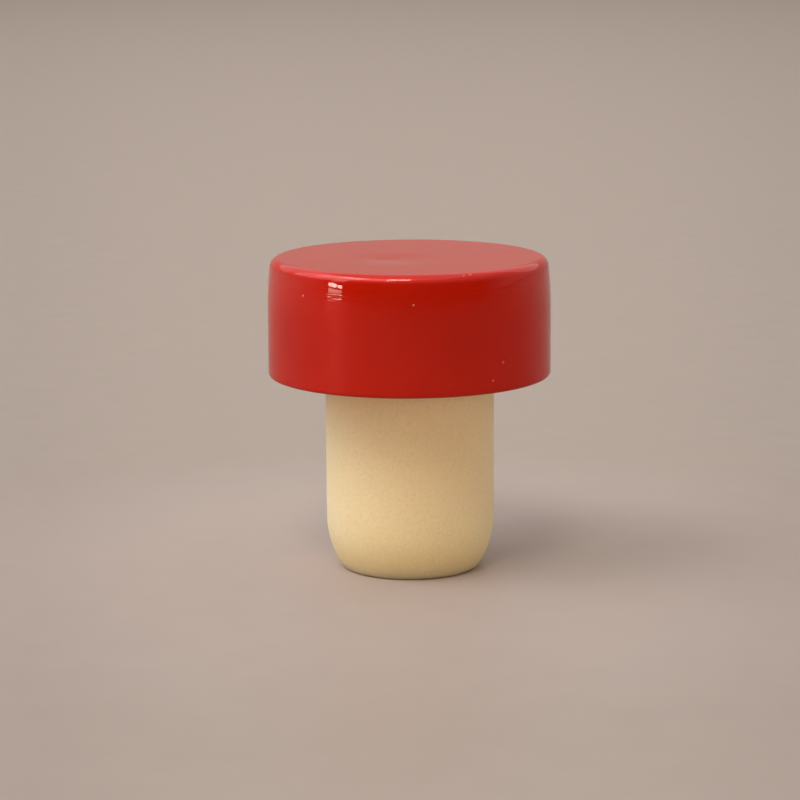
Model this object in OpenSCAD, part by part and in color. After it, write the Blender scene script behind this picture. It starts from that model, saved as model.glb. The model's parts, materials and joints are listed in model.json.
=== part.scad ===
// Bar-top bottle stopper: a lacquered round cap on a synthetic cork shank.
// It stands on its shank, with the origin at the centre of the base and +Z up.
// All sizes are in millimetres.

/* [Cap] */
// Outside diameter of the cap
cap_d = 32.5; // [28:0.5:44]
// Height of the cap
cap_h = 13.6; // [10:0.1:24]
// Height of the cap's soft shoulder, from its straight wall to its flat top
shoulder_h = 5.8; // [3:0.1:8]
// Radius of the shoulder's curve
shoulder_r = 43; // [20:1:90]
// Rounding of the edge between the shoulder and the flat top
cap_top_r = 1.1; // [0.5:0.1:2.5]
// Rounding of the cap's bottom edge
cap_bottom_r = 0.4; // [0.2:0.1:1.5]

/* [Shank] */
// Diameter of the shank where it seals a bottle's neck
shank_d = 19.5; // [16:0.1:24]
// Length of the shank that shows below the cap
shank_len = 22.6; // [16:0.1:36]
// Height of the drawn-in nose at the shank's free end
nose_h = 6; // [3:0.5:9]
// Radius of the nose's curve
nose_r = 10.5; // [9.5:0.5:24]
// Rounding of the edge between the nose and the flat base
base_edge_r = 0.7; // [0.2:0.1:1.5]

/* [Glued socket] */
// Depth of the socket in the cap's underside that the shank is glued into
socket_depth = 6; // [3:0.5:8]
// Draft of the socket's wall in degrees, which squeezes the shank's glued end
socket_draft = 2; // [0.5:0.25:5]
// Thickness of the glue between the shank and the socket's wall
glue_gap = 0.1; // [0.05:0.05:0.3]
// Bevel around the socket's mouth
mouth_bevel = 0.4; // [0.2:0.1:1]

/* [Hidden] */
$fn = 96;

LACQUER_RED = [0.70, 0.11, 0.08];
CORK_TAN = [0.87, 0.75, 0.56];

cap_r = cap_d / 2;
shank_r = shank_d / 2;

// How far the arc of a drawn-in end's edge stands out past touching the end's curve, so that they cross
edge_overlap = 0.01;

// Radius of the glued joint's wall at a height above the cap's underside
function joint_r(z, gap) = shank_r + gap - z * tan(socket_draft);

// Half section of the glued end, or of the socket around it with a gap
module joint_section(gap) {
    polygon([
        [0, 0],
        [joint_r(0, gap), 0],
        [joint_r(socket_depth, gap), socket_depth],
        [0, socket_depth],
    ]);
}

// Quarter of a disc, with its corner at the origin
module quarter_disc(r) {
    intersection() {
        circle(r);
        square(r);
    }
}

// Half section of a flat disc whose upper outer edge is fully rounded
module rounded_disc_section(r, edge_r) {
    square([r - edge_r, edge_r]);
    translate([r - edge_r, 0])
        quarter_disc(edge_r);
}

// Half section of a round bar of a length whose end is drawn in to a flat face at height 0.
// The end's curve leaves the straight wall without a kink at height h, and its rounded edge
// touches the flat face and runs along the curve from inside. Each part of the outline laps
// its neighbour, so that no seam is left between them when a size changes.
module drawn_in_section(r, length, h, curve_r, edge_r) {
    curve_x = r - curve_r;
    edge_x = curve_x + sqrt(pow(curve_r - edge_r, 2) - pow(h - edge_r, 2)) + edge_overlap;
    blend_z = h - curve_r * (h - edge_r) / (curve_r - edge_r);
    intersection() {
        union() {
            translate([curve_x, h])
                circle(curve_r);
            translate([0, h])
                square([r, length]);
        }
        union() {
            square([edge_x, length]);
            translate([edge_x, edge_r])
                mirror([0, 1])
                    quarter_disc(edge_r);
            translate([0, blend_z])
                square([2 * r, length]);
        }
        square([2 * r, length]);
    }
}

// Half section of the cap without its socket
module cap_section() {
    intersection() {
        translate([0, cap_h])
            mirror([0, 1])
                drawn_in_section(cap_r, cap_h, shoulder_h, shoulder_r, cap_top_r);
        union() {
            translate([0, cap_bottom_r])
                mirror([0, 1])
                    rounded_disc_section(cap_r, cap_bottom_r);
            translate([0, cap_bottom_r])
                square([2 * cap_r, cap_h]);
        }
    }
}

// Half section of the bevel that leads the shank into the socket
module mouth_section() {
    polygon([
        [0, 0],
        [joint_r(0, glue_gap) + mouth_bevel, 0],
        [joint_r(mouth_bevel, glue_gap), mouth_bevel],
        [0, mouth_bevel],
    ]);
}

// Lacquered cap that a hand pulls, with the blind socket in its underside
module cap() {
    color(LACQUER_RED)
        translate([0, 0, shank_len])
            rotate_extrude()
                difference() {
                    cap_section();
                    joint_section(glue_gap);
                    mouth_section();
                }
}

// Foamed cork shank: nose, sealing wall and the end that is squeezed into the socket
module cork_shank() {
    color(CORK_TAN)
        rotate_extrude()
            union() {
                drawn_in_section(shank_r, shank_len, nose_h, nose_r, base_edge_r);
                translate([0, shank_len])
                    joint_section(0);
            }
}

cap();
cork_shank();
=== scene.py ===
"""Looks of a bar-top bottle stopper: a lacquered cap on a foamed cork shank.

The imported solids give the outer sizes. Lengths are in metres, +Z is up, and the origin is
the centre of the shank's flat base. The photograph's camera looks along +Y.
"""

import json
import logging
import math
from abc import ABC, abstractmethod
from collections.abc import Callable
from dataclasses import dataclass, field
from enum import Enum

import bmesh
import bpy
import numpy as np
from mathutils import Matrix, Vector, noise


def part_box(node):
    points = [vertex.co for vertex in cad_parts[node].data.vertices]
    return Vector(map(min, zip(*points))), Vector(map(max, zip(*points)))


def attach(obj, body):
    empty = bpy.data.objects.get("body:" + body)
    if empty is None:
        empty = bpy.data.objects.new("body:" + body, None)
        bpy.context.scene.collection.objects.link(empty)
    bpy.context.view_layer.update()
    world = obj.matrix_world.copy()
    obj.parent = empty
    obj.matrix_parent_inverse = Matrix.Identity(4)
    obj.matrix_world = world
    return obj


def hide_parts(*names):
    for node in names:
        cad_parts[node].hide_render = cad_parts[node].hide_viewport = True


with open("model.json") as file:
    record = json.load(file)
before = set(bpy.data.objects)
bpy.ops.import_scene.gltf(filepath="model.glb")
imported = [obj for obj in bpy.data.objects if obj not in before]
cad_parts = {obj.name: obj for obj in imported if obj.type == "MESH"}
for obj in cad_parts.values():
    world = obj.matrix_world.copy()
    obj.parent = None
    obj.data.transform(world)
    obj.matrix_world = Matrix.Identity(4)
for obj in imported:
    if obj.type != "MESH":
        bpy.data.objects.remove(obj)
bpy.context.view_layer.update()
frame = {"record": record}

LOG = logging.getLogger("stopper")
MM = 0.001
BODY = "root"
# Most of the noise lies between these two values
NOISE_LOW = 0.3
NOISE_HIGH = 0.7

Colour = tuple[float, float, float]
Stops = tuple[tuple[float, Colour], ...]
Socket = bpy.types.NodeSocket
Relief = Callable[[Vector, Vector], float]


class Node(Enum):
    """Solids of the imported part."""

    CAP = "cap"
    SHANK = "cork_shank"


class Slot(Enum):
    """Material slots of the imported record."""

    LACQUER = "cap_lacquer"
    FOAM = "cork_foam"


class Spread(Enum):
    """Sizes of the grains that a finish's noise is made of."""

    BLOTCH = 6.0 * MM
    PEEL = 2.5 * MM
    PATCH = 2.2 * MM
    GRAIN = 0.3 * MM
    FLECK = 0.28 * MM
    DUST = 0.13 * MM


class Tint(Enum):
    """Colours of the lamps' light."""

    NEUTRAL = (1.0, 1.0, 1.0)
    COOL = (0.96, 0.98, 1.05)
    WARM = (1.0, 0.945, 0.875)
    SUN = (1.0, 0.93, 0.78)


class Axis(Enum):
    """Axes that a pattern can follow."""

    X = "X"
    Y = "Y"
    Z = "Z"


class Coordinates(Enum):
    """What a pattern's coordinates are measured on."""

    PIECE = "Object"
    DIRECTION = "Generated"


class Sight(Enum):
    """Ways in which a surface or the surroundings are met by a ray."""

    SEEN = "Is Camera Ray"
    MIRRORED = "Is Glossy Ray"
    SEEN_THROUGH = "Is Transmission Ray"


class Sum(Enum):
    """Sums with one or two numbers."""

    PLUS = "ADD"
    TIMES = "MULTIPLY"
    OVER = "DIVIDE"
    UNSIGNED = "ABSOLUTE"


class Mixing(Enum):
    """Ways to mix two colours."""

    SHARE = "MIX"
    PRODUCT = "MULTIPLY"
    LIGHTER = "LIGHTEN"


def grey(level: float) -> Colour:
    """A colour without a hue."""
    return (level, level, level)


def opaque(colour: Colour) -> tuple[float, float, float, float]:
    """A colour with full opacity, as sockets take it."""
    return (*colour, 1.0)


def bearing(azimuth: float, elevation: float) -> Vector:
    """Unit vector from the stopper towards a place around it.

    Args:
        azimuth: Degrees from the camera's side, negative to the camera's left.
        elevation: Degrees above the horizon.

    Returns:
        The direction in the part's frame.
    """
    turn, rise = math.radians(azimuth), math.radians(elevation)
    flat = math.cos(rise)
    return Vector((math.sin(turn) * flat, -math.cos(turn) * flat, math.sin(rise)))


class Outline:
    """Half section of a turned piece, drawn from its first point on the axis to its last."""

    def __init__(self, radius: float, height: float) -> None:
        """Start the outline at a distance from the axis and at a height."""
        self.points: list[tuple[float, float]] = [(radius, height)]

    def run_to(self, radius: float, height: float, step: float) -> "Outline":
        """Draw a straight stretch.

        Args:
            radius: Distance of its end from the axis.
            height: Height of its end.
            step: Longest distance between two points.

        Returns:
            This outline.
        """
        start = np.array(self.points[-1])
        end = np.array((radius, height))
        count = max(1, math.ceil(float(np.linalg.norm(end - start)) / step))
        for share in np.linspace(0.0, 1.0, count + 1)[1:]:
            self.points.append(tuple(start + share * (end - start)))
        return self

    def arc(
        self, centre: tuple[float, float], size: float, start: float, end: float, step: float
    ) -> "Outline":
        """Draw an arc that begins where the outline stands.

        Args:
            centre: Radius and height of the arc's centre.
            size: Radius of the arc.
            start: Angle of its start in degrees, from outwards towards up.
            end: Angle of its end in degrees.
            step: Longest distance between two points.

        Returns:
            This outline.
        """
        count = max(2, math.ceil(abs(math.radians(end - start)) * size / step))
        for angle in np.radians(np.linspace(start, end, count + 1)[1:]):
            radius = centre[0] + size * math.cos(angle)
            height = centre[1] + size * math.sin(angle)
            self.points.append((radius, height))
        return self

    def sides(self) -> list[tuple[float, float]]:
        """Find which way the outline faces.

        Returns:
            Unit normals of the outline's points, out of the material.
        """
        line = np.array(self.points)
        along = np.gradient(line, axis=0)
        across = np.column_stack((along[:, 1], -along[:, 0]))
        return [tuple(row) for row in across / np.linalg.norm(across, axis=1)[:, None]]


@dataclass(frozen=True)
class DrawnInEnd:
    """A round end whose wall draws in along one curve to a rounded edge and a flat face."""

    radius: float
    height: float
    curve: float
    edge: float

    @property
    def curve_centre(self) -> float:
        """Distance of the curve's centre from the axis, negative beyond it."""
        return self.radius - self.curve

    @property
    def edge_centre(self) -> float:
        """Distance of the rounded edge's centre from the axis."""
        inset = math.sqrt((self.curve - self.edge) ** 2 - (self.height - self.edge) ** 2)
        return self.curve_centre + inset

    @property
    def blend(self) -> float:
        """Angle in degrees from the wall at which the curve runs into the rounded edge."""
        return math.degrees(math.asin((self.height - self.edge) / (self.curve - self.edge)))

    def tilt(self, depth: float) -> float:
        """Angle in degrees by which the surface leans towards the flat face.

        Args:
            depth: Distance from the flat face along the axis.

        Returns:
            The angle, 0 on the wall and 90 on the flat face.
        """
        if depth >= self.height:
            return 0.0
        lean = math.degrees(math.asin((self.height - depth) / self.curve))
        if lean <= self.blend:
            return lean
        return math.degrees(math.asin(min(1.0, (self.edge - depth) / self.edge)))

    def reach(self, depth: float) -> float:
        """Distance of the surface from the axis.

        Args:
            depth: Distance from the flat face along the axis.

        Returns:
            The distance.
        """
        lean = self.tilt(depth)
        if lean <= self.blend:
            return self.curve_centre + self.curve * math.cos(math.radians(lean))
        return self.edge_centre + self.edge * math.cos(math.radians(lean))


def band_faces(lower: list[int], upper: list[int], steps: int) -> list[tuple[int, ...]]:
    """Faces between two neighbouring rings of points.

    Args:
        lower: Points of the first ring, or the one point on the axis.
        upper: Points of the next ring, or the one point on the axis.
        steps: Points around the axis.

    Returns:
        The faces, which look out of the material.
    """
    faces: list[tuple[int, ...]] = []
    for index in range(steps):
        after = (index + 1) % steps
        if len(lower) == 1:
            faces.append((lower[0], upper[after], upper[index]))
        elif len(upper) == 1:
            faces.append((lower[index], lower[after], upper[0]))
        else:
            faces.append((lower[index], lower[after], upper[after], upper[index]))
    return faces


def turn_mesh(name: str, outline: Outline, steps: int, relief: Relief) -> bpy.types.Mesh:
    """Turn an outline about the axis and shift each point along its normal.

    Args:
        name: Name of the mesh.
        outline: Half section from one point on the axis to another.
        steps: Points around the axis.
        relief: Shift of a point, from its place and its normal.

    Returns:
        The closed mesh.
    """
    points: list[Vector] = []
    rings: list[list[int]] = []
    on_axis = 1e-9
    for (radius, height), (out, up) in zip(outline.points, outline.sides()):
        count = 1 if radius < on_axis else steps
        rings.append(list(range(len(points), len(points) + count)))
        for index in range(count):
            turn = math.tau * index / steps
            cosine, sine = math.cos(turn), math.sin(turn)
            normal = Vector((out * cosine, out * sine, up))
            if count == 1:
                normal = Vector((0.0, 0.0, math.copysign(1.0, up)))
            place = Vector((radius * cosine, radius * sine, height))
            points.append(place + normal * relief(place, normal))
    faces: list[tuple[int, ...]] = []
    for lower, upper in zip(rings, rings[1:]):
        faces.extend(band_faces(lower, upper, steps))
    mesh = bpy.data.meshes.new(name)
    mesh.from_pydata(points, [], faces)
    mesh.shade_smooth()
    return mesh


class NodeWork:
    """Nodes of a material or of the surroundings, added and joined one at a time."""

    def __init__(self, tree: bpy.types.NodeTree, coordinates: Coordinates) -> None:
        """Add the coordinates and the ways of being seen.

        Args:
            tree: The nodes to add to.
            coordinates: What the patterns' coordinates are measured on.
        """
        self.tree = tree
        self.place = tree.nodes.new("ShaderNodeTexCoord").outputs[coordinates.value]
        self.path = tree.nodes.new("ShaderNodeLightPath").outputs

    def join(self, source: Socket, target: Socket) -> None:
        """Link two sockets."""
        self.tree.links.new(source, target)

    def fill(self, target: Socket, value: Socket | Colour | float) -> None:
        """Link a socket to another one, or set it to a constant.

        Args:
            target: The socket to fill.
            value: A socket, a colour or a number.
        """
        if isinstance(value, Socket):
            self.join(value, target)
        else:
            target.default_value = opaque(value) if isinstance(value, tuple) else value

    def sight(self, way: Sight) -> Socket:
        """1 where a ray meets the surface in a certain way, else 0."""
        return self.path[way.value]

    def sum(self, kind: Sum, *terms: Socket | float) -> Socket:
        """Work out a sum.

        Args:
            kind: Which sum.
            terms: Its numbers in order.

        Returns:
            The result.
        """
        made = self.tree.nodes.new("ShaderNodeMath")
        made.operation = kind.value
        for target, term in zip(made.inputs, terms):
            self.fill(target, term)
        return made.outputs["Value"]

    def coordinate(self, axis: Axis) -> Socket:
        """Coordinate along an axis.

        Args:
            axis: The axis.

        Returns:
            The coordinate.
        """
        parts = self.tree.nodes.new("ShaderNodeSeparateXYZ")
        self.join(self.place, parts.inputs["Vector"])
        return parts.outputs[axis.value]

    def along(self, axis: Axis, start: float, end: float) -> Socket:
        """Share from 0 to 1 of the way along an axis, between two coordinates."""
        return self.scale(self.coordinate(axis), 0.0, 1.0, start, end)

    def away(self) -> Socket:
        """Measure how far a point lies from the origin.

        Returns:
            The distance.
        """
        made = self.tree.nodes.new("ShaderNodeVectorMath")
        made.operation = "LENGTH"
        self.join(self.place, made.inputs[0])
        return made.outputs["Value"]

    def aside(self, foot: float) -> Socket:
        """Distance to either side as a share of the distance ahead of a foot before the origin.

        Args:
            foot: How far before the origin the foot lies.

        Returns:
            The share, 0 straight ahead.
        """
        side = self.sum(Sum.UNSIGNED, self.coordinate(Axis.X))
        ahead = self.sum(Sum.PLUS, self.coordinate(Axis.Y), foot)
        return self.sum(Sum.OVER, side, ahead)

    def noise(
        self, spread: Spread, detail: float = 2.0, roughness: float = 0.5, flatness: float = 1.0
    ) -> Socket:
        """Noise over the piece.

        Args:
            spread: Size of its grains.
            detail: Number of finer layers.
            roughness: Strength of each finer layer.
            flatness: How many times lower than wide the grains are.

        Returns:
            The noise from 0 to 1.
        """
        squash = self.tree.nodes.new("ShaderNodeMapping")
        squash.inputs["Scale"].default_value = (1.0, 1.0, flatness)
        self.join(self.place, squash.inputs["Vector"])
        made = self.tree.nodes.new("ShaderNodeTexNoise")
        made.inputs["Scale"].default_value = 1.0 / spread.value
        made.inputs["Detail"].default_value = detail
        made.inputs["Roughness"].default_value = roughness
        self.join(squash.outputs["Vector"], made.inputs["Vector"])
        return made.outputs["Fac"]

    def ramp(self, source: Socket, stops: Stops) -> Socket:
        """Colours by a number.

        Args:
            source: The number.
            stops: Places from 0 to 1 and the colours there.

        Returns:
            The colour.
        """
        made = self.tree.nodes.new("ShaderNodeValToRGB")
        first, last = made.color_ramp.elements
        first.position, first.color = stops[0][0], opaque(stops[0][1])
        last.position, last.color = stops[-1][0], opaque(stops[-1][1])
        for place, colour in stops[1:-1]:
            made.color_ramp.elements.new(place).color = opaque(colour)
        self.join(source, made.inputs["Fac"])
        return made.outputs["Color"]

    def blend(
        self,
        share: Socket | float,
        first: Socket | Colour,
        second: Socket | Colour,
        mixing: Mixing = Mixing.SHARE,
    ) -> Socket:
        """Mix two colours.

        Args:
            share: How much of the second colour.
            first: The first colour.
            second: The second colour.
            mixing: The way to mix them.

        Returns:
            The mixed colour.
        """
        made = self.tree.nodes.new("ShaderNodeMix")
        made.data_type = "RGBA"
        made.blend_type = mixing.value
        sockets = {socket.identifier: socket for socket in made.inputs}
        self.fill(sockets["Factor_Float"], share)
        self.fill(sockets["A_Color"], first)
        self.fill(sockets["B_Color"], second)
        return next(socket for socket in made.outputs if socket.identifier == "Result_Color")

    def scale(
        self,
        source: Socket,
        low: float,
        high: float,
        start: float = NOISE_LOW,
        end: float = NOISE_HIGH,
    ) -> Socket:
        """Bring a number into a range.

        Args:
            source: The number.
            low: Value at its low end and below.
            high: Value at its high end and above.
            start: The number's low end.
            end: The number's high end.

        Returns:
            The value.
        """
        made = self.tree.nodes.new("ShaderNodeMapRange")
        made.inputs["From Min"].default_value = start
        made.inputs["From Max"].default_value = end
        made.inputs["To Min"].default_value = low
        made.inputs["To Max"].default_value = high
        self.join(source, made.inputs["Value"])
        return made.outputs["Result"]


class ShaderTree(NodeWork):
    """A new material's nodes."""

    def __init__(self, name: str) -> None:
        """Make the material.

        Args:
            name: Name of the material.
        """
        self.material = bpy.data.materials.new(name)
        self.material.use_nodes = True
        super().__init__(self.material.node_tree, Coordinates.PIECE)
        self.shader = self.tree.nodes["Principled BSDF"]

    def set(self, **values: float | Colour) -> None:
        """Set the shader's own sockets to constants.

        Args:
            values: Socket names in lower case with underscores, and their values.
        """
        for name, value in values.items():
            words = (word.upper() if word == "ior" else word.capitalize() for word in name.split("_"))
            self.fill(self.shader.inputs[" ".join(words)], value)

    def attribute(self, name: str) -> Socket:
        """Read a number that the mesh holds at each point.

        Args:
            name: Name of the number.

        Returns:
            The number.
        """
        made = self.tree.nodes.new("ShaderNodeAttribute")
        made.attribute_name = name
        return made.outputs["Fac"]

    def bump(self, source: Socket, depth: float, over: Socket | None = None) -> Socket:
        """Unevenness too fine for the mesh.

        Args:
            source: The height, of which 1 is the whole depth.
            depth: Depth of the unevenness.
            over: A coarser unevenness below it.

        Returns:
            The normal.
        """
        made = self.tree.nodes.new("ShaderNodeBump")
        made.inputs["Strength"].default_value = 1.0
        made.inputs["Distance"].default_value = depth
        self.join(source, made.inputs["Height"])
        if over is not None:
            self.join(over, made.inputs["Normal"])
        return made.outputs["Normal"]

    def feed(self, title: str, source: Socket) -> None:
        """Link a socket of the shader."""
        self.join(source, self.shader.inputs[title])


class Finish(ABC):
    """What a surface is made of and how it was finished."""

    @abstractmethod
    def material(self) -> bpy.types.Material:
        """The finish as a material."""


@dataclass(frozen=True)
class Lacquer(Finish):
    """Gloss red lacquer: a hazy pigmented coat under a clear one.

    The clear coat has flecks on the wall, and ripples in a band where it sagged below the shoulder.
    """

    name: str = "red_lacquer"
    deep: Colour = (0.55, 0.0105, 0.0015)
    full: Colour = (0.595, 0.0125, 0.002)
    sparkle: float = 0.25
    haze: float = 0.42
    haze_spread: float = 0.04
    pigment_gloss: float = 0.0
    clear: float = 0.78
    clear_ior: float = 1.5
    gloss: float = 0.025
    ripple_depth: float = 0.018 * MM
    ripple_flatness: float = 10.0
    ripple_top: float = 34.15 * MM
    ripple_full: float = 33.9 * MM
    ripple_fade: float = 33.4 * MM
    ripple_end: float = 32.0 * MM
    fleck_start: float = 0.58
    fleck_end: float = 0.7
    fleck_depth: float = 0.004 * MM
    dust_depth: float = 0.003 * MM

    def colour(self, tree: ShaderTree) -> Socket:
        """Pigment that is slightly uneven."""
        blotches = tree.noise(Spread.BLOTCH, detail=3.0)
        return tree.ramp(blotches, ((NOISE_LOW, self.deep), (NOISE_HIGH, self.full)))

    def relieve(self, tree: ShaderTree) -> None:
        """Give both coats their unevenness.

        Args:
            tree: The material's nodes.
        """
        wall = tree.along(Axis.Z, self.ripple_top, self.ripple_full)
        band = tree.sum(Sum.TIMES, wall, tree.along(Axis.Z, self.ripple_end, self.ripple_fade))
        peel = tree.noise(Spread.PEEL, detail=1.0, roughness=0.4, flatness=self.ripple_flatness)
        # Heights on both sides of zero leave no step at the band's edges
        waves = tree.scale(peel, -0.5, 0.5, start=0.0, end=1.0)
        ripples = tree.bump(tree.sum(Sum.TIMES, band, waves), self.ripple_depth)
        specks = tree.noise(Spread.FLECK, detail=1.0)
        flecks = tree.scale(specks, 0.0, 1.0, self.fleck_start, self.fleck_end)
        on_wall = tree.sum(Sum.TIMES, wall, flecks)
        tree.feed("Coat Normal", tree.bump(on_wall, self.fleck_depth, ripples))
        dust = tree.noise(Spread.DUST, roughness=0.6)
        tree.feed("Normal", tree.bump(dust, self.dust_depth, ripples))

    def material(self) -> bpy.types.Material:
        """Make the lacquer.

        Returns:
            The material.
        """
        tree = ShaderTree(self.name)
        tree.feed("Base Color", self.colour(tree))
        least, most = self.haze - self.haze_spread, self.haze + self.haze_spread
        tree.feed("Roughness", tree.scale(tree.noise(Spread.PATCH), least, most))
        self.relieve(tree)
        tree.set(metallic=self.sparkle)
        tree.set(specular_ior_level=self.pigment_gloss, specular_tint=self.full)
        tree.set(coat_weight=self.clear, coat_roughness=self.gloss, coat_ior=self.clear_ior)
        return tree.material


@dataclass(frozen=True)
class CorkFoam(Finish):
    """Matt tan foam: a sandy grain with pale specks and small pits, with painted shade that makes the pits
    darker and the two ends browner.
    """

    name: str = "cork_foam"
    shade: Colour = (0.825, 0.628, 0.347)
    body: Colour = (0.885, 0.683, 0.388)
    pale: Colour = (0.92, 0.73, 0.44)
    # Painted shade: a darker tan laid into the pits' hollows
    pit: Colour = (0.845, 0.643, 0.36)
    body_start: float = 0.47
    body_end: float = 0.54
    clouding: float = 0.3
    length: float = 22.6 * MM
    # Painted shade: browner near the floor at the base and just under the cap at the glued end
    painted_end_shade: Stops = (
        (0.06, (0.97, 0.89, 0.77)),
        (0.2, (0.98, 0.96, 0.92)),
        (0.36, grey(1.0)),
        (0.7, grey(1.0)),
        (1.0, (1.0, 0.985, 0.92)),
    )
    roughness: float = 0.82
    roughness_spread: float = 0.08
    sheen: float = 0.25
    grain_depth: float = 0.014 * MM
    glow: float = 0.95
    glow_reach: float = 10.0 * MM
    glow_tint: Colour = (1.0, 0.85, 0.7)
    pit_attribute: str = "pit"

    def colour(self, tree: ShaderTree, grain: Socket) -> Socket:
        """Mix the foam's colours.

        Args:
            tree: The material's nodes.
            grain: The sandy grain.

        Returns:
            The colour.
        """
        tones = (
            (NOISE_LOW, self.shade),
            (self.body_start, self.body),
            (self.body_end, self.body),
            (NOISE_HIGH, self.pale),
        )
        clouds = tree.scale(tree.noise(Spread.PATCH), 0.0, self.clouding)
        clouded = tree.blend(clouds, tree.ramp(grain, tones), self.body)
        # Painted shade: the pits are coloured darker by their depth
        pitted = tree.blend(tree.attribute(self.pit_attribute), clouded, self.pit)
        # Painted shade: the foam is drawn browner towards its base and towards the cap
        painted_end_shade = tree.ramp(tree.along(Axis.Z, 0.0, self.length), self.painted_end_shade)
        return tree.blend(1.0, pitted, painted_end_shade, Mixing.PRODUCT)

    def material(self) -> bpy.types.Material:
        """Make the foam.

        Returns:
            The material.
        """
        tree = ShaderTree(self.name)
        grain = tree.noise(Spread.GRAIN, detail=3.0, roughness=0.6)
        tree.feed("Base Color", self.colour(tree, grain))
        rough, smooth = self.roughness + self.roughness_spread, self.roughness - self.roughness_spread
        tree.feed("Roughness", tree.scale(grain, rough, smooth))
        dust = tree.noise(Spread.DUST, roughness=0.6)
        tree.feed("Normal", tree.bump(dust, self.grain_depth))
        tree.set(specular_ior_level=self.sheen)
        tree.set(subsurface_weight=self.glow, subsurface_scale=self.glow_reach)
        tree.shader.inputs["Subsurface Radius"].default_value = self.glow_tint
        return tree.material


@dataclass(frozen=True)
class Card(Finish):
    """Taupe card of the studio's floor, with painted light in a pool round the stopper and painted shade to
    the sides ahead of the camera.

    The cap's gloss mirrors the card in tones of its own, painted shade which darkens towards the camera.
    """

    name: str = "taupe_card"
    dark: Colour = (0.45, 0.368, 0.318)
    light: Colour = (0.465, 0.381, 0.329)
    # Painted light: the card is paler in a pool close round the stopper and a little darker further out
    painted_light_pool: Stops = (
        (0.035, grey(1.0)),
        (0.065, (0.892, 0.892, 0.871)),
        (0.17, (0.902, 0.902, 0.88)),
        (1.0, (0.902, 0.902, 0.88)),
    )
    # Painted shade: the card grows darker to either side of the line ahead of a foot before the stopper
    painted_side_shade_foot: float = 0.294
    painted_side_shade: Stops = (
        (0.05, grey(1.0)),
        (0.1, grey(0.965)),
        (0.15, grey(0.9)),
    )
    # Painted shade: in the cap's gloss the card shows tones of its own that darken towards the camera
    mirrored_front: float = -1.0
    mirrored_back: float = 0.3
    mirrored: Stops = (
        (0.0, grey(0.0)),
        (0.42, (0.08, 0.07, 0.05)),
        (0.615, (0.17, 0.14, 0.11)),
        (0.77, (0.23, 0.19, 0.15)),
        (0.885, (0.40, 0.33, 0.28)),
        (0.96, (0.50, 0.42, 0.35)),
    )
    roughness: float = 0.5
    sheen: float = 0.3

    def material(self) -> bpy.types.Material:
        """Make the card.

        Returns:
            The material.
        """
        tree = ShaderTree(self.name)
        card = tree.ramp(tree.noise(Spread.BLOTCH), ((NOISE_LOW, self.dark), (NOISE_HIGH, self.light)))
        # Painted light: the card's colour is made paler in a pool round the stopper
        painted_light_pooled = tree.blend(1.0, card, tree.ramp(tree.away(), self.painted_light_pool), Mixing.PRODUCT)
        # Painted shade: the card darkens towards its sides, seen from the camera's foot
        painted_side_shade = tree.ramp(tree.aside(self.painted_side_shade_foot), self.painted_side_shade)
        seen = tree.blend(1.0, painted_light_pooled, painted_side_shade, Mixing.PRODUCT)
        # Painted shade in reflections: glossy rays see the card darker towards the camera
        depth = tree.along(Axis.Y, self.mirrored_front, self.mirrored_back)
        mirrored = tree.ramp(depth, self.mirrored)
        tree.feed("Base Color", tree.blend(tree.sight(Sight.MIRRORED), seen, mirrored))
        tree.set(roughness=self.roughness, specular_ior_level=self.sheen)
        return tree.material


@dataclass
class TurnedPiece(ABC):
    """A piece of the stopper that is turned about the axis, with its surface relief."""

    name: str
    node: Node
    slot: Slot
    finish: Finish
    steps: int

    @abstractmethod
    def outline(self) -> Outline:
        """The piece's half section."""

    @abstractmethod
    def relief(self, place: Vector, normal: Vector) -> float:
        """Shift of a point of the plain form along its normal, positive out of the material."""

    def build(self) -> bpy.types.Object:
        """Make the piece's mesh and put it in the scene.

        Returns:
            The new object.
        """
        mesh = turn_mesh(self.name, self.outline(), self.steps, self.relief)
        piece = bpy.data.objects.new(self.name, mesh)
        bpy.context.scene.collection.objects.link(piece)
        return piece

    def dress(self, piece: bpy.types.Object) -> None:
        """Give the piece its finish."""
        piece.data.materials.append(self.finish.material())

    def place(self) -> bpy.types.Object:
        """Build and dress the piece, and let it stand for its solid.

        Returns:
            The finished object.
        """
        piece = self.build()
        self.dress(piece)
        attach(piece, BODY)
        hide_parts(self.node.value)
        return piece


@dataclass(frozen=True)
class Dent:
    """A shallow round hollow in the cap's top."""

    centre: tuple[float, float]
    radius: float
    depth: float

    def sink(self, place: Vector) -> float:
        """How far a point of the top is pressed down."""
        away = math.dist(place.xy, self.centre) / self.radius
        return self.depth * max(0.0, 1.0 - away * away) ** 2


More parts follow.
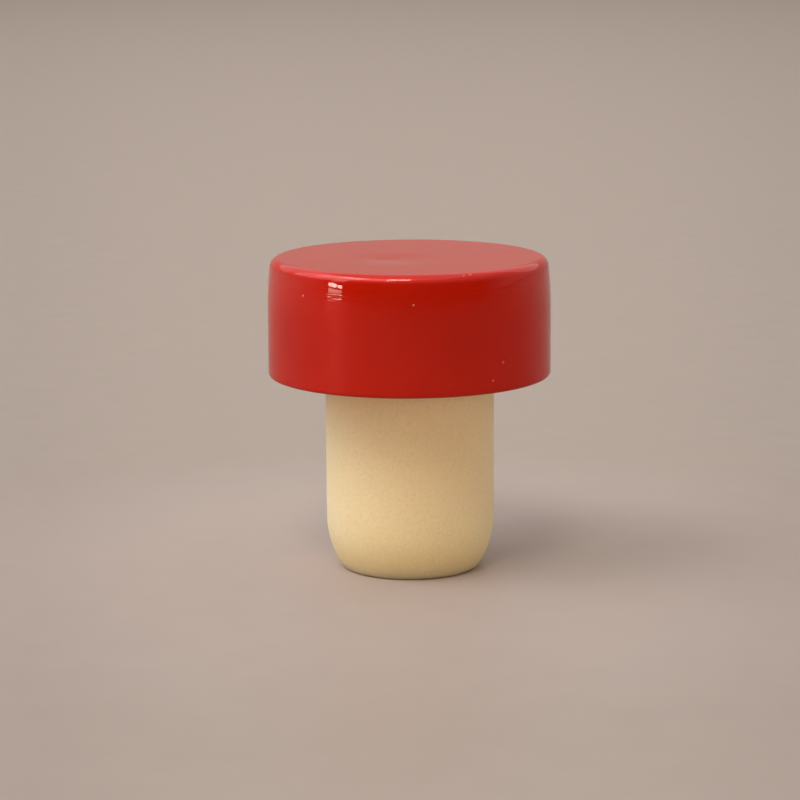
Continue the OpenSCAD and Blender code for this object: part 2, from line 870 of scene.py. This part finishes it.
@dataclass
class LacqueredCap(TurnedPiece):
    """The round cap that a hand pulls, with a soft shoulder, a dented top and a socket below."""

    name: str = "lacquered_cap"
    node: Node = Node.CAP
    slot: Slot = Slot.LACQUER
    finish: Finish = field(default_factory=Lacquer)
    steps: int = 480
    radius: float = 0.0
    underside: float = 0.0
    top: float = 0.0
    ceiling: float = 0.0
    shank_radius: float = 0.0
    shoulder_height: float = 5.8 * MM
    shoulder_radius: float = 43.0 * MM
    top_edge: float = 1.1 * MM
    bottom_edge: float = 0.4 * MM
    mouth_bevel: float = 0.4 * MM
    glue_gap: float = 0.1 * MM
    draft: float = 2.0
    crisp_corner: float = 35.0
    dents: tuple[Dent, ...] = (
        Dent(centre=(-2.6 * MM, -2.1 * MM), radius=2.3 * MM, depth=0.045 * MM),
        Dent(centre=(-1.8 * MM, -2.4 * MM), radius=6.0 * MM, depth=0.11 * MM),
    )
    flat_enough: float = 0.99
    wave_size: float = 2.4 * MM
    wave_depth: float = 0.0025 * MM

    @classmethod
    def from_frame(cls) -> "LacqueredCap":
        """Take the cap's outer sizes from the solids.

        Returns:
            The cap.
        """
        low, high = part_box(Node.CAP.value)
        shank_low, shank_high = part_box(Node.SHANK.value)
        return cls(
            radius=(high.x - low.x) / 2,
            underside=low.z,
            top=high.z,
            ceiling=shank_high.z,
            shank_radius=(shank_high.x - shank_low.x) / 2,
        )

    @property
    def shoulder(self) -> DrawnInEnd:
        """The drawn-in end between the wall and the flat top."""
        return DrawnInEnd(self.radius, self.shoulder_height, self.shoulder_radius, self.top_edge)

    def socket_radius(self, height: float) -> float:
        """Radius of the socket's drafted wall at a height."""
        drawn_in = (height - self.underside) * math.tan(math.radians(self.draft))
        return self.shank_radius + self.glue_gap - drawn_in

    def outline(self) -> Outline:
        """Draw the cap from the socket's ceiling round to the middle of the top.

        Returns:
            The half section.
        """
        coarse, fine, round_step = 1.0 * MM, 0.3 * MM, 0.06 * MM
        bevel_top = self.underside + self.mouth_bevel
        bottom = (self.radius - self.bottom_edge, self.underside + self.bottom_edge)
        end = self.shoulder
        line = Outline(0.0, self.ceiling)
        line.run_to(self.socket_radius(self.ceiling), self.ceiling, 3 * coarse)
        line.run_to(self.socket_radius(bevel_top), bevel_top, coarse)
        line.run_to(self.socket_radius(self.underside) + self.mouth_bevel, self.underside, fine)
        line.run_to(bottom[0], self.underside, fine)
        line.arc(bottom, self.bottom_edge, -90, 0, round_step)
        line.run_to(self.radius, self.top - end.height, fine)
        line.arc((end.curve_centre, self.top - end.height), end.curve, 0, end.blend, fine)
        line.arc((end.edge_centre, self.top - end.edge), end.edge, end.blend, 90, round_step)
        line.run_to(0.0, self.top, fine)
        return line

    def skin(self, azimuth: float, height: float) -> tuple[Vector, Vector]:
        """A place on the cap's outer wall, shoulder or top edge.

        Args:
            azimuth: Degrees from the camera's side, negative to the camera's left.
            height: Height above the stopper's base.

        Returns:
            The point and the normal there.
        """
        depth = self.top - height
        place = bearing(azimuth, 0.0) * self.shoulder.reach(depth) + Vector((0.0, 0.0, height))
        return place, bearing(azimuth, self.shoulder.tilt(depth))

    def relief(self, place: Vector, normal: Vector) -> float:
        """Slow waves of the lacquer everywhere, and the dents in the top.

        Args:
            place: The point on the plain form.
            normal: Its normal.

        Returns:
            The shift, positive out of the material.
        """
        wave = self.wave_depth * noise.noise(place / self.wave_size)
        if normal.z < self.flat_enough or place.z < self.top - self.top_edge:
            return wave
        return wave - sum(dent.sink(place) for dent in self.dents)

    def build(self) -> bpy.types.Object:
        """Make the cap's mesh with crisp corners at its socket.

        Returns:
            The new object.
        """
        piece = super().build()
        piece.data.set_sharp_from_angle(angle=math.radians(self.crisp_corner))
        return piece


@dataclass(frozen=True)
class Nib:
    """A speck of dust that dried into the lacquer."""

    azimuth: float
    height: float
    size: float


@dataclass
class LacquerNibs:
    """The specks of dust on the cap's wall, shoulder and top edge, each a low bead in the lacquer."""

    cap: LacqueredCap
    name: str = "lacquer_nibs"
    slot: Slot = Slot.LACQUER
    finish: Finish = Lacquer(name="nib_lacquer", deep=(0.70, 0.09, 0.06), full=(0.80, 0.15, 0.11))
    flatness: float = 0.5
    nibs: tuple[Nib, ...] = (
        Nib(azimuth=-46.5, height=33.29 * MM, size=0.16 * MM),
        Nib(azimuth=1.7, height=32.95 * MM, size=0.14 * MM),
        Nib(azimuth=70.8, height=30.96 * MM, size=0.16 * MM),
        Nib(azimuth=39.5, height=25.99 * MM, size=0.15 * MM),
        Nib(azimuth=34.5, height=24.12 * MM, size=0.13 * MM),
        Nib(azimuth=22.5, height=35.92 * MM, size=0.12 * MM),
        Nib(azimuth=25.5, height=35.97 * MM, size=0.14 * MM),
    )

    def build(self) -> bpy.types.Object:
        """Make the beads as one mesh and put it in the scene.

        Returns:
            The new object.
        """
        shell = bmesh.new()
        for nib in self.nibs:
            place, normal = self.cap.skin(nib.azimuth, nib.height)
            stand = normal.to_track_quat("Z", "Y").to_matrix().to_4x4()
            bead = Matrix.Diagonal((nib.size, nib.size, nib.size * self.flatness, 1.0))
            spot = Matrix.Translation(place) @ stand @ bead
            bmesh.ops.create_icosphere(shell, subdivisions=3, radius=1.0, matrix=spot)
        mesh = bpy.data.meshes.new(self.name)
        shell.to_mesh(mesh)
        shell.free()
        mesh.shade_smooth()
        piece = bpy.data.objects.new(self.name, mesh)
        bpy.context.scene.collection.objects.link(piece)
        return piece

    def dress(self, piece: bpy.types.Object) -> None:
        """Give the beads their finish."""
        piece.data.materials.append(self.finish.material())

    def place(self) -> bpy.types.Object:
        """Build and dress the beads, and let them ride with the cap.

        Returns:
            The finished object.
        """
        piece = self.build()
        self.dress(piece)
        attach(piece, BODY)
        return piece


@dataclass
class CorkShank(TurnedPiece):
    """The foamed shank with its drawn-in nose, pitted all over."""

    name: str = "foamed_shank"
    node: Node = Node.SHANK
    slot: Slot = Slot.FOAM
    finish: CorkFoam = field(default_factory=CorkFoam)
    steps: int = 480
    radius: float = 0.0
    neck: float = 0.0
    top: float = 0.0
    nose_height: float = 0.0
    nose_radius: float = 10.5 * MM
    base_edge: float = 0.7 * MM
    draft: float = 2.0
    swell_size: float = 3.0 * MM
    swell_depth: float = 0.02 * MM
    grain_size: float = 0.34 * MM
    grain_depth: float = 0.012 * MM
    grain_roughness: float = 0.8
    grain_finer: float = 2.0
    grain_layers: int = 2
    pit_spacing: float = 0.55 * MM
    pit_share: float = 0.3
    pit_shuffle: float = 7.31
    pit_least: float = 0.2
    pit_growth: float = 0.25
    pit_depth: float = 0.015 * MM

    @classmethod
    def from_frame(cls, record: dict) -> "CorkShank":
        """Take the shank's outer sizes from the solids.

        Args:
            record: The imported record, whose shank mount gives the straight wall's length.

        Returns:
            The shank.
        """
        low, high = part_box(Node.SHANK.value)
        cap_low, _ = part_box(Node.CAP.value)
        wall = next(mount for mount in record["mounts"] if mount["name"] == "shank")
        return cls(
            radius=(high.x - low.x) / 2,
            neck=cap_low.z,
            top=high.z,
            nose_height=cap_low.z - wall["dims"]["length_mm"] * MM,
        )

    def outline(self) -> Outline:
        """Draw the shank from the middle of the base to the middle of the glued end.

        Returns:
            The half section.
        """
        fine, coarse = 0.14 * MM, 1.5 * MM
        nose = DrawnInEnd(self.radius, self.nose_height, self.nose_radius, self.base_edge)
        drawn_in = (self.top - self.neck) * math.tan(math.radians(self.draft))
        line = Outline(0.0, 0.0)
        line.run_to(nose.edge_centre, 0.0, 2 * fine)
        line.arc((nose.edge_centre, nose.edge), nose.edge, -90, -nose.blend, fine)
        line.arc((nose.curve_centre, nose.height), nose.curve, -nose.blend, 0, fine)
        line.run_to(self.radius, self.neck, fine)
        line.run_to(self.radius - drawn_in, self.top, coarse)
        line.run_to(0.0, self.top, 2 * coarse)
        return line

    def pit(self, place: Vector) -> float:
        """How deep a point lies in one of the foam's pits.

        Args:
            place: The point.

        Returns:
            The share of the depth, from 0 outside a pit to 1 in its middle.
        """
        near, cells = noise.voronoi(place / self.pit_spacing)
        # Every cell has a number of its own from -1 to 1
        size = noise.cell(cells[0] * self.pit_shuffle)
        if size < 1.0 - 2.0 * self.pit_share:
            return 0.0
        reach = self.pit_least + self.pit_growth * abs(size)
        return max(0.0, 1.0 - (near[0] / reach) ** 2)

    def relief(self, place: Vector, normal: Vector) -> float:
        """Slow swells, a fine grain and the pits, all sunk below the plain form.

        Args:
            place: The point on the plain form.
            normal: Its normal, which is not used.

        Returns:
            The shift, negative into the material.
        """
        if place.z > self.neck:
            return 0.0
        swell = self.swell_depth * noise.noise(place / self.swell_size)
        spot = place / self.grain_size
        sand = noise.fractal(spot, self.grain_roughness, self.grain_finer, self.grain_layers)
        pits = self.pit_depth * self.pit(place)
        return swell + self.grain_depth * sand - self.swell_depth - self.grain_depth - pits

    def build(self) -> bpy.types.Object:
        """Make the shank's mesh, with the pits' depth held at its points for the finish.

        Returns:
            The new object.
        """
        piece = super().build()
        depth = piece.data.attributes.new(self.finish.pit_attribute, "FLOAT", "POINT")
        depth.data.foreach_set("value", [self.pit(point.co) for point in piece.data.vertices])
        return piece


@dataclass(frozen=True)
class Softbox:
    """A rectangular lamp far off that faces the stopper, with its place and size in degrees."""

    name: str
    azimuth: float
    elevation: float
    width: float
    height: float
    light: float
    tint: Tint = Tint.NEUTRAL
    mirrored: bool = True
    distance: float = 3.0

    def side(self, angle: float) -> float:
        """Length that fills an angle in degrees at the lamp's distance."""
        return 2.0 * self.distance * math.tan(math.radians(angle) / 2.0)

    def hang(self, aim: Vector) -> bpy.types.Object:
        """Put the lamp in the scene.

        Args:
            aim: The point it faces.

        Returns:
            The lamp.
        """
        lamp = bpy.data.lights.new(self.name, "AREA")
        lamp.shape = "RECTANGLE"
        lamp.size, lamp.size_y = self.side(self.width), self.side(self.height)
        # A white surface that faces the lamp is as bright as the light says, with 1 for white
        lamp.energy = self.light * (math.pi * self.distance) ** 2
        lamp.color = self.tint.value
        hung = bpy.data.objects.new(self.name, lamp)
        towards = bearing(self.azimuth, self.elevation)
        hung.location = aim + towards * self.distance
        hung.rotation_mode = "QUATERNION"
        hung.rotation_quaternion = (-towards).to_track_quat("-Z", "Y")
        hung.visible_glossy = self.mirrored
        bpy.context.scene.collection.objects.link(hung)
        return hung


def softboxes() -> tuple[Softbox, ...]:
    """Large lamps that light the stopper from above.

    Returns:
        The lamps, from the front to the back.
    """
    cool, warm = Tint.COOL, Tint.WARM
    return (
        Softbox("key_softbox", azimuth=-56, elevation=52, width=62, height=24, light=0.28, tint=cool),
        Softbox("left_softbox", azimuth=-85, elevation=40, width=56, height=42, light=0.41, tint=cool),
        Softbox("front_softbox", azimuth=-12, elevation=57, width=15, height=17, light=0.24, tint=warm),
        Softbox("overhead_softbox", azimuth=0, elevation=80, width=50, height=46, light=0.13, tint=warm),
        Softbox("high_back_softbox", azimuth=170, elevation=66, width=70, height=40, light=0.08, tint=warm),
        Softbox("low_back_softbox", azimuth=180, elevation=40, width=110, height=36, light=0.34),
    )


def fills() -> tuple[Softbox, ...]:
    """Weak lamps that brighten the shadows and don't show in the gloss.

    Returns:
        The lamps.
    """
    return (
        Softbox(
            "right_back_softbox",
            azimuth=105, elevation=40, width=45, height=35,
            light=0.10, tint=Tint.WARM, mirrored=False,
        ),
        Softbox(
            "left_fill",
            azimuth=-75, elevation=12, width=40, height=16,
            light=0.045, tint=Tint.COOL, mirrored=False,
        ),
        Softbox(
            "front_fill",
            azimuth=-8, elevation=12, width=60, height=20,
            light=0.145, mirrored=False,
        ),
        Softbox(
            "right_fill",
            azimuth=60, elevation=9, width=40, height=16,
            light=0.185, tint=Tint.WARM, mirrored=False,
        ),
    )


def window() -> tuple[Softbox, ...]:
    """Panels that stand for the room's ceiling and window in the cap's gloss.

    Returns:
        The panels, from the highest to the lowest.
    """
    sun = Tint.SUN
    return (
        Softbox("ceiling_panel", azimuth=-66, elevation=55, width=18, height=12, light=0.09),
        Softbox("window_glow", azimuth=-60, elevation=20, width=12, height=26, light=0.04),
        Softbox(
            "window_pane_wide",
            azimuth=-64.3, elevation=2.4, width=7.6, height=1.5,
            light=0.02, tint=sun,
        ),
        Softbox(
            "window_pane_narrow",
            azimuth=-57.5, elevation=2.2, width=4.2, height=0.9,
            light=0.0066, tint=sun,
        ),
        Softbox(
            "window_sill",
            azimuth=-61.75, elevation=0.6, width=12.7, height=1.2,
            light=0.008, tint=sun,
        ),
    )


@dataclass
class Studio:
    """Floor, lamps, surroundings and camera, with angles in degrees and the lens in millimetres."""

    middle: Vector = field(default_factory=lambda: Vector((0.0, 0.0, 18.0 * MM)))
    floor_name: str = "card_floor"
    floor_radius: float = 4.0
    floor_sides: int = 96
    floor_finish: Finish = field(default_factory=Card)
    ambient: Colour = grey(0.04)
    backdrop: Colour = (0.60, 0.48, 0.41)
    mirrored_ceiling: Stops = (
        (0.0, grey(0.0)),
        (0.34, grey(0.17)),
        (0.64, (0.46, 0.45, 0.45)),
        (0.87, (0.60, 0.58, 0.58)),
        (1.0, (0.45, 0.44, 0.44)),
    )
    mirrored_backdrop: Stops = (
        (0.25, grey(0.0)),
        (0.45, (0.425, 0.35, 0.31)),
        (0.60, (0.575, 0.472, 0.42)),
        (1.0, (0.525, 0.428, 0.37)),
    )
    elevation: float = 11.087
    distance: float = 0.300
    lens: float = 116.695
    roll: float = -0.339
    look_left: float = 1.1245 * MM
    look_up: float = 1.439 * MM

    def lay_floor(self) -> bpy.types.Object:
        """A wide round floor of card.

        Returns:
            The floor.
        """
        mesh = bpy.data.meshes.new(self.floor_name)
        corners = range(self.floor_sides)
        rim = [bearing(360 * corner / self.floor_sides, 0) * self.floor_radius for corner in corners]
        mesh.from_pydata(rim, [], [tuple(corners)])
        floor = bpy.data.objects.new(self.floor_name, mesh)
        floor.data.materials.append(self.floor_finish.material())
        bpy.context.scene.collection.objects.link(floor)
        return floor

    def surround(self) -> None:
        """Light from all around, the backdrop where it is seen, and the room where it is mirrored."""
        world = bpy.data.worlds.new("studio")
        world.use_nodes = True
        room = NodeWork(world.node_tree, Coordinates.DIRECTION)
        ceiling = room.ramp(room.along(Axis.Z, 0.0, 1.0), self.mirrored_ceiling)
        behind = room.ramp(room.along(Axis.Y, -1.0, 1.0), self.mirrored_backdrop)
        mirrored = room.blend(1.0, ceiling, behind, Mixing.LIGHTER)
        light = room.blend(room.sight(Sight.MIRRORED), self.ambient, mirrored)
        light = room.blend(room.sight(Sight.SEEN_THROUGH), light, mirrored)
        light = room.blend(room.sight(Sight.SEEN), light, self.backdrop)
        room.join(light, world.node_tree.nodes["Background"].inputs["Color"])
        bpy.context.scene.world = world

    def set_camera(self) -> bpy.types.Object:
        """The camera at the photograph's angle, for a square picture.

        Returns:
            The camera.
        """
        lens = bpy.data.cameras.new("camera")
        lens.lens = self.lens
        camera = bpy.data.objects.new("camera", lens)
        camera.location = self.middle + bearing(0.0, self.elevation) * self.distance
        target = self.middle + Vector((-self.look_left, 0.0, self.look_up))
        view = (target - camera.location).to_track_quat("-Z", "Y").to_matrix().to_4x4()
        lean = Matrix.Rotation(math.radians(self.roll), 4, "Z")
        camera.rotation_mode = "QUATERNION"
        camera.rotation_quaternion = (view @ lean).to_quaternion()
        bpy.context.scene.collection.objects.link(camera)
        bpy.context.scene.camera = camera
        return camera

    def set_up(self) -> None:
        """Make everything around the stopper."""
        bpy.context.scene.view_settings.view_transform = "Standard"
        self.lay_floor()
        self.surround()
        for lamp in (*softboxes(), *fills(), *window()):
            lamp.hang(self.middle)
        self.set_camera()


def main() -> None:
    """Build the stopper's pieces in order, then the studio, and report each piece."""
    logging.basicConfig(level=logging.INFO, format="%(name)s: %(message)s")
    cap = LacqueredCap.from_frame()
    for piece in (cap, LacquerNibs(cap), CorkShank.from_frame(frame["record"])):
        made = piece.place()
        LOG.info("%s: %d faces in %s", made.name, len(made.data.polygons), piece.slot.value)
    Studio().set_up()


if __name__ == "__main__":
    main()
